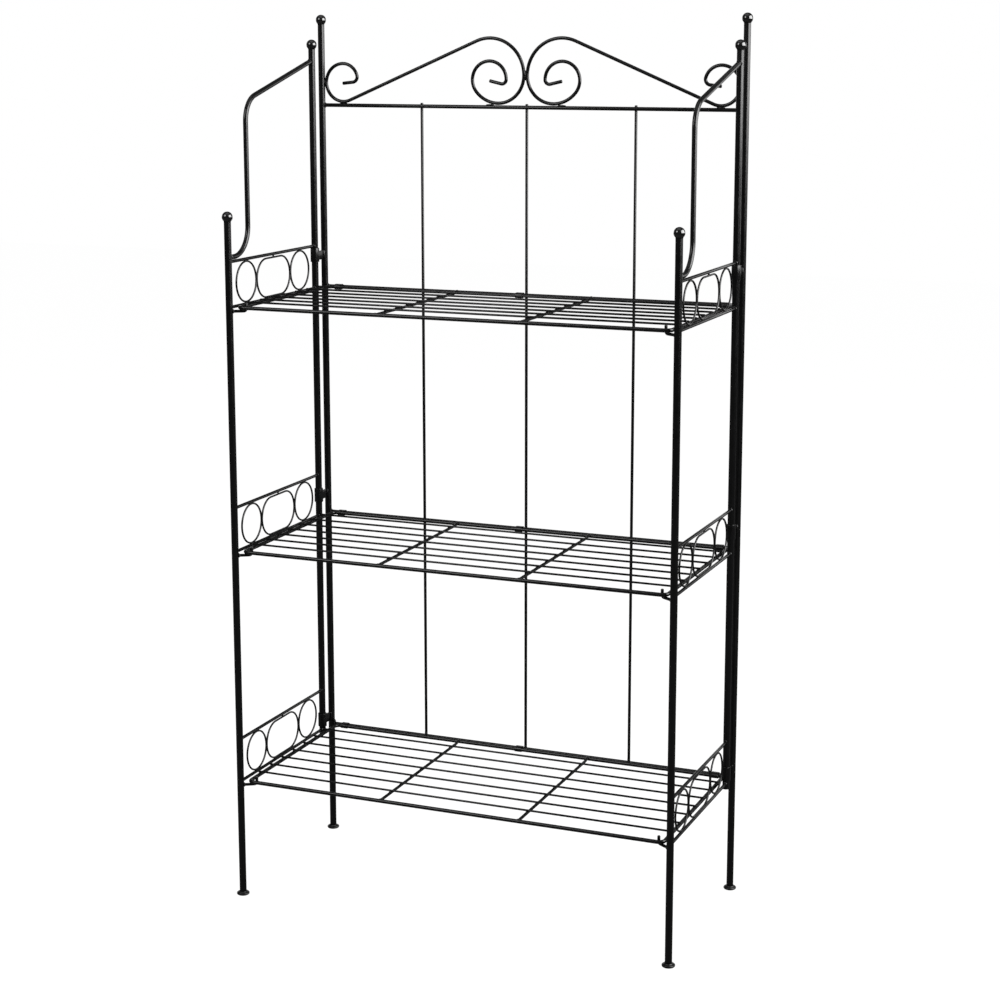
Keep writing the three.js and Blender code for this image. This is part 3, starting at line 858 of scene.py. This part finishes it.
def clip(bm, x, height):
    """A strap welded round the shelf's rear rod that also goes round its hinge rail."""
    inner = HINGE_RAIL / 2 + SLEEVE_PLAY
    front = SHELF_REAR - BACK_LINE + inner - SHELF_FRAME / 2 + BITE
    rings = []
    for radius in (inner, inner + CLIP):
        rear_arc = round_the((0, 0), radius, -90, 90, CLIP_STEPS)
        front_arc = round_the((front, 0), radius, 90, 270, CLIP_STEPS)
        outline = [(x - CLIP_WIDTH / 2, BACK_LINE + y, height + z) for y, z in rear_arc + front_arc]
        rings.append([bm.verts.new(point) for point in outline])
    edges = [bm.edges.new(pair) for ring in rings for pair in zip(ring, ring[1:] + ring[:1])]
    face = bmesh.ops.bridge_loops(bm, edges=edges)["faces"]
    made = bmesh.ops.extrude_face_region(bm, geom=face)["geom"]
    bmesh.ops.translate(bm, verts=verts_of(made), vec=X * CLIP_WIDTH)
    for sign in BOTH_WAYS:
        drop(bm, (x + sign * CLIP_WIDTH / 2, SHELF_REAR, height - SHELF_FRAME / 2), "clip")


def deck(level):
    """The frame with its wires and hinge clips."""
    height = HEIGHT[level]
    node_name = f"shelf_{level}_deck"
    wide = 2 * SHELF_SIDE - 2 * CORNER
    deep = SHELF_REAR - SHELF_FRONT - 2 * CORNER
    bm = bmesh.new()
    rod = Rod(bm, (-wide / 2, SHELF_FRONT, height), X, Z, SHELF_FRAME)
    for length in (wide, deep, wide, deep):
        rod.run(length).bend(CORNER, 90)

    reach = SHELF_SIDE + WIRE_OVERHANG
    over = height + WIRE_RISE
    for y in WIRE_LINES:
        straight_rod(bm, (-reach, y, over), (reach, y, over), SHELF_WIRE, WIRE_FACES)
        for sign in SIDES.values():
            for way in BOTH_WAYS:
                seam = y + way * SHELF_WIRE * DECK_WIRE_SEAM
                top = height + SHELF_FRAME * DECK_FRAME_SEAM
                drop(bm, (sign * SHELF_SIDE, seam, top), "shelf_wire")

    end = SHELF_SIDE - CORNER - CLIP_WIDTH / 2
    for x in (-end, -(UPRIGHT + CLIP_WIDTH) / 2 - SLEEVE_PLAY, end):
        clip(bm, x, height)
    piece(f"{node_name}_panel", f"shelf_{level}", bm, [node_name])


def crossbar(level, side):
    """Runs back under the wires, rises a little and laps over the shelf's rear rod."""
    node_name = f"shelf_{level}_crossbar_{side}"
    x = middle_of(node_name).x
    under = WIRE_RISE - SHELF_WIRE / 2 - WELD_GAP - CROSSBAR / 2
    height = HEIGHT[level] + under
    rise = CROSSBAR_RISE - under
    tilt = math.degrees(math.acos(1 - rise / (2 * CROSSBAR_BEND)))
    rise_run = 2 * CROSSBAR_BEND * math.sin(math.radians(tilt))
    inside = SHELF_FRAME / 2 - BITE
    bm = bmesh.new()
    rod = Rod(bm, (x, SHELF_FRONT + inside, height), Y, X, CROSSBAR, CROSSBAR_FACES)
    rod.run(SHELF_REAR - SHELF_FRONT - rise_run - inside)
    rod.bend(CROSSBAR_BEND, tilt).bend(CROSSBAR_BEND, -tilt)
    rod.capped()
    for y in WIRE_LINES:
        for way in BOTH_WAYS:
            seam = y + way * SHELF_WIRE * BAR_WIRE_SEAM
            drop(bm, (x, seam, height + CROSSBAR * BAR_TOP_SEAM), "crossbar_wire")
    front = SHELF_FRONT + SHELF_FRAME / 2 + CROSSBAR_FILLET_PLACE
    fillet(bm, (x, front, height), Y, CROSSBAR, CROSSBAR_FILLET)
    for way in BOTH_WAYS:
        side_seam = x + way * CROSSBAR * BAR_END_SEAM
        top = HEIGHT[level] + SHELF_FRAME * REAR_ROD_SEAM
        drop(bm, (side_seam, SHELF_REAR - BAR_END_FORWARD, top), "crossbar_end")
    piece(f"{node_name}_rod", f"shelf_{level}", bm, [node_name])


for level in LEVELS:
    deck(level)
    for side in SIDES:
        crossbar(level, side)

# Floor, surroundings, lights and camera, in metres

WHITE = (1, 1, 1, 1)
FLOOR_SIZE = 40
FLOOR_GREY = (0.12, 0.12, 0.12, 1)
FLOOR_PALE = (0.9, 0.9, 0.9, 1)
FLOOR_GLOW = 1.14
FLOOR_GLOW_SHARE = 0.8
BACKDROP_LINE = 9
BACKDROP_HEIGHT = 2.8
ROOM_LIGHT = 0.45
ROOM_MIRRORED = 0.1

CAMERA_PLACE = (1.2430, -2.9512, 1.3298)
CAMERA_YAW, CAMERA_PITCH, CAMERA_ROLL = 22.47, -10.62, 0.02
CAMERA_SENSOR = 36
CAMERA_LENS = 76.85
CAMERA_SHIFT = -0.06
CAMERA_REACH = 100


def stage_sheet(name, place):
    """A flat sheet of the studio, from a square of 1 metre."""
    bm = bmesh.new()
    bmesh.ops.create_grid(bm, x_segments=1, y_segments=1, size=0.5, matrix=place)
    mesh = bpy.data.meshes.new(name)
    bm.to_mesh(mesh)
    bm.free()
    sheet = bpy.data.objects.new(name, mesh)
    bpy.context.scene.collection.objects.link(sheet)
    return sheet


def bare_tree(owner):
    """The node tree of a material or world, emptied."""
    owner.use_nodes = True
    owner.node_tree.nodes.clear()
    return owner.node_tree


def pale_floor():
    """White to the camera but for the rack's shadow, and a dark grey to everything that it lights."""
    floor = stage_sheet("floor", Matrix.Diagonal((FLOOR_SIZE, FLOOR_SIZE, 1, 1)))
    material = bpy.data.materials.new("pale_floor")
    tree = bare_tree(material)
    link = tree.links.new
    path = node(tree, "ShaderNodeLightPath", (-600, 300))
    grey = node(tree, "ShaderNodeBsdfDiffuse", (-300, 0), Color=FLOOR_GREY)
    pale = node(tree, "ShaderNodeBsdfDiffuse", (-300, -150), Color=FLOOR_PALE)
    glow = node(tree, "ShaderNodeEmission", (-300, -300), Color=WHITE, Strength=FLOOR_GLOW)
    seen = node(tree, "ShaderNodeMixShader", (-50, -200), Fac=FLOOR_GLOW_SHARE)
    both = node(tree, "ShaderNodeMixShader", (200, 0))
    out = node(tree, "ShaderNodeOutputMaterial", (450, 0))
    link(pale.outputs["BSDF"], seen.inputs[1])
    link(glow.outputs["Emission"], seen.inputs[2])
    link(path.outputs["Is Camera Ray"], both.inputs["Fac"])
    link(grey.outputs["BSDF"], both.inputs[1])
    link(seen.outputs["Shader"], both.inputs[2])
    link(both.outputs["Shader"], out.inputs["Surface"])
    floor.data.materials.append(material)


def backdrop():
    """A white wall behind the rack that the camera sees and the finish mirrors, and that lights nothing."""
    raised = Matrix.Translation((0, BACKDROP_LINE, BACKDROP_HEIGHT / 2))
    stretch = Matrix.Diagonal((FLOOR_SIZE, BACKDROP_HEIGHT, 1, 1))
    wall = stage_sheet("backdrop", raised @ Matrix.Rotation(math.pi / 2, 4, "X") @ stretch)
    wall.visible_diffuse = False
    material = bpy.data.materials.new("backdrop_paper")
    tree = bare_tree(material)
    glow = node(tree, "ShaderNodeEmission", (0, 0), Color=WHITE, Strength=1)
    out = node(tree, "ShaderNodeOutputMaterial", (250, 0))
    tree.links.new(glow.outputs["Emission"], out.inputs["Surface"])
    wall.data.materials.append(material)


def studio_world():
    """A white backdrop to the camera, with dimmer walls for the light and for reflections."""
    world = bpy.data.worlds.new("studio")
    bpy.context.scene.world = world
    tree = bare_tree(world)
    link = tree.links.new
    path = node(tree, "ShaderNodeLightPath", (-600, 200))
    walls = node(tree, "ShaderNodeBackground", (-300, 100), Color=WHITE, Strength=ROOM_LIGHT)
    mirrored = node(tree, "ShaderNodeBackground", (-300, -50), Color=WHITE, Strength=ROOM_MIRRORED)
    seen = node(tree, "ShaderNodeBackground", (-300, -200), Color=WHITE, Strength=1)
    bounced = node(tree, "ShaderNodeMath", (-300, 300), operation="MAXIMUM")
    shine = node(tree, "ShaderNodeMixShader", (0, 50))
    both = node(tree, "ShaderNodeMixShader", (250, 0))
    out = node(tree, "ShaderNodeOutputWorld", (500, 0))
    link(path.outputs["Is Glossy Ray"], bounced.inputs[0])
    link(path.outputs["Is Transmission Ray"], bounced.inputs[1])
    link(bounced.outputs["Value"], shine.inputs["Fac"])
    link(walls.outputs["Background"], shine.inputs[1])
    link(mirrored.outputs["Background"], shine.inputs[2])
    link(path.outputs["Is Camera Ray"], both.inputs["Fac"])
    link(shine.outputs["Shader"], both.inputs[1])
    link(seen.outputs["Background"], both.inputs[2])
    link(both.outputs["Shader"], out.inputs["Surface"])


def softbox(name, place, aim, size, radiance, matt=True, gloss=True):
    """A flat lamp that faces a point, for matt looks, gloss or both."""
    lamp = bpy.data.lights.new(name, "AREA")
    lamp.shape = "RECTANGLE"
    lamp.size, lamp.size_y = size
    lamp.energy = radiance * math.pi * size[0] * size[1]
    made = bpy.data.objects.new(name, lamp)
    made.location = place
    made.rotation_euler = (Vector(aim) - Vector(place)).to_track_quat("-Z", "Y").to_euler()
    made.visible_camera = False
    made.visible_diffuse = matt
    made.visible_glossy = gloss
    bpy.context.scene.collection.objects.link(made)


def camera():
    lens = bpy.data.cameras.new("camera")
    lens.sensor_width = CAMERA_SENSOR
    lens.lens = CAMERA_LENS
    lens.shift_y = CAMERA_SHIFT
    lens.clip_end = CAMERA_REACH
    made = bpy.data.objects.new("camera", lens)
    made.location = CAMERA_PLACE
    made.rotation_euler = [math.radians(turn) for turn in (90 + CAMERA_PITCH, CAMERA_ROLL, CAMERA_YAW)]
    bpy.context.scene.collection.objects.link(made)
    bpy.context.scene.camera = made


pale_floor()
backdrop()
studio_world()
softbox("wall_right", (2.4, 0.1, 2.15), aim=(0, 0.1, 2.15), size=(3.0, 2.2), radiance=2)
softbox("shine_right", (2.45, 0.1, 2.15), aim=(0, 0.1, 2.15), size=(3.0, 2.2), radiance=6, matt=False)
softbox("fill_left", (-1.4, -2.4, 2.5), aim=(0, 0, 1.2), size=(1.2, 1.4), radiance=5)
softbox("overhead", (0, -0.3, 3.4), aim=(0, 0, 0), size=(2.6, 2.0), radiance=0.4)
softbox("overhead_fill", (0, -0.3, 3.41), aim=(0, 0, 0), size=(2.6, 2.0), radiance=1.2, gloss=False)
camera()
bpy.context.scene.view_settings.view_transform = "Standard"
